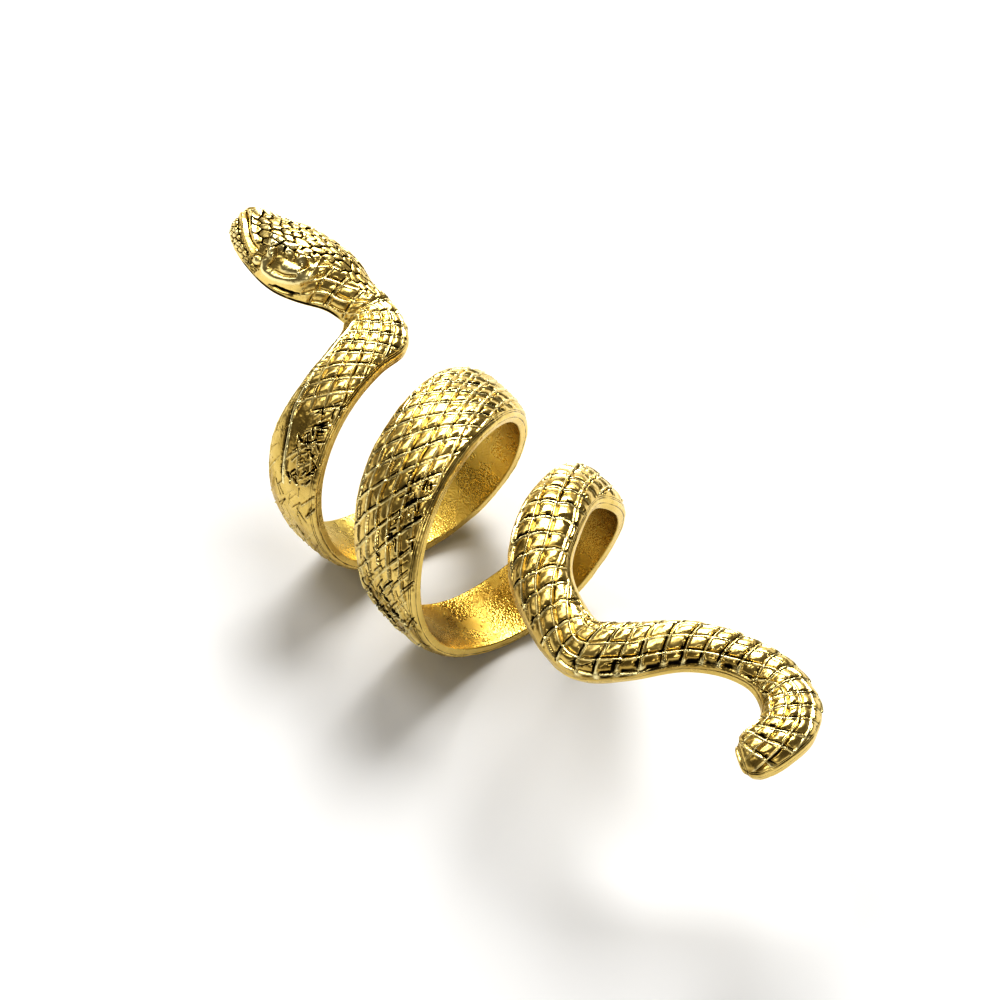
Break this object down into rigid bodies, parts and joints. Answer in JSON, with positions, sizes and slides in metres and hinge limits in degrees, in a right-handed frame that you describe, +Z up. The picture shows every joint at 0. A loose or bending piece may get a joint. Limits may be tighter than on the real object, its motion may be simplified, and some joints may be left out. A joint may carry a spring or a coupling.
{
  "type": "snake ring",
  "caption": "Open wrap ring shaped as a scaled snake that coils round the finger, with its head and tail lying along the finger.",
  "frame": {"origin": "middle of the ring's box on the surface it rests on, straight below the axis of the finger hole", "axes": "+X along the finger, from the snake's head to its tail; +Z up, from the resting flats to the face of the ring; -Y towards the side that the picture shows"},
  "size_m": [0.0722, 0.0206, 0.022],
  "materials": {
    "gold": "gold-plated casting, polished scales with darkened grooves outside, satin grained inside"
  },
  "bodies": {
    "root": {"snake_ring": "gold"}
  },
  "joints": []
}
